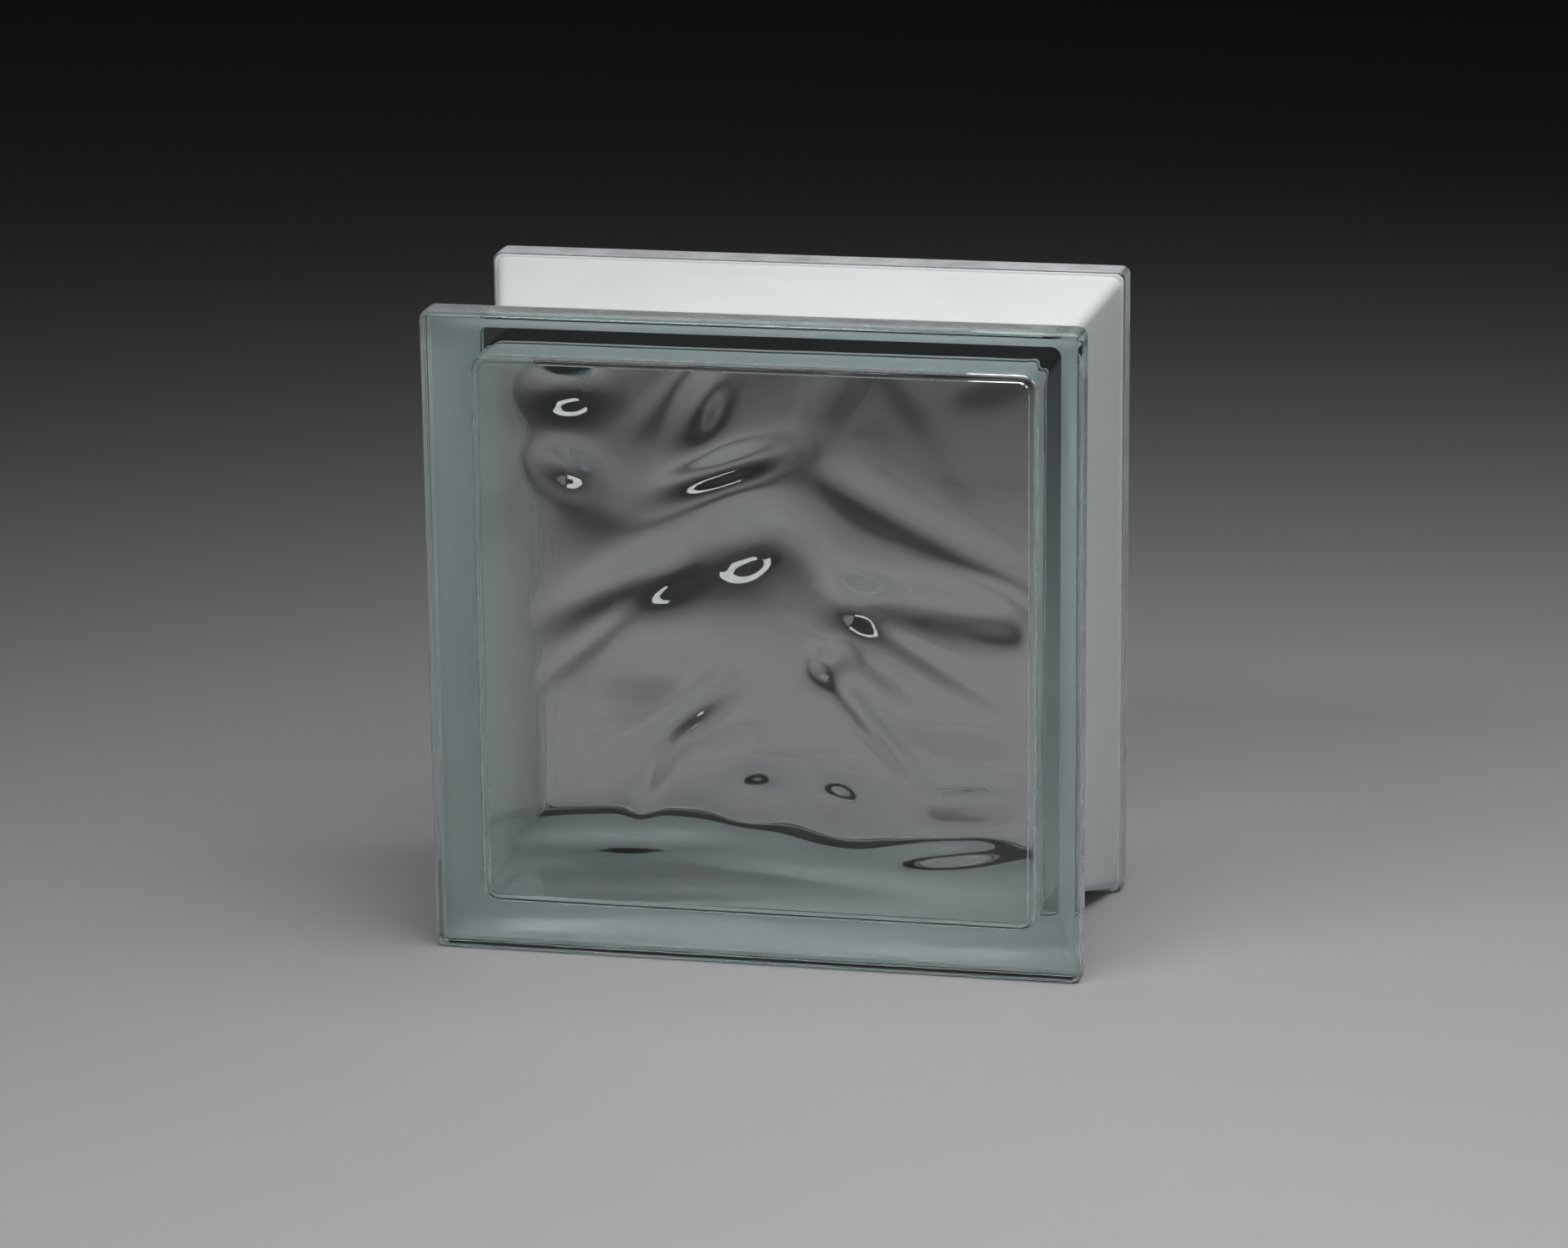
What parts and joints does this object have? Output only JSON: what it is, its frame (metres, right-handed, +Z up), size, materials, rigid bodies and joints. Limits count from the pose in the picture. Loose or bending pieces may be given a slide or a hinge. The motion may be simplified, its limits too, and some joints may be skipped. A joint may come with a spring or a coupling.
{
  "type": "glass block",
  "caption": "Hollow square glass wall block with two wavy inner faces, a raised lip round each face and a white coated mortar recess round its four edges.",
  "frame": {"origin": "middle of the footprint, on the floor that the block stands on", "axes": "+X along the block's width, to the right as seen from the front; +Y through its depth, from the front face to the back face; +Z up"},
  "size_m": [0.19, 0.095, 0.19],
  "materials": {
    "pressed_glass": "fire-polished clear glass with a faint green tint",
    "edge_coat": "matte white resin coat, slightly grainy"
  },
  "bodies": {
    "root": {"front_half": "pressed_glass", "back_half": "pressed_glass", "edge_coating": "edge_coat"}
  },
  "joints": []
}
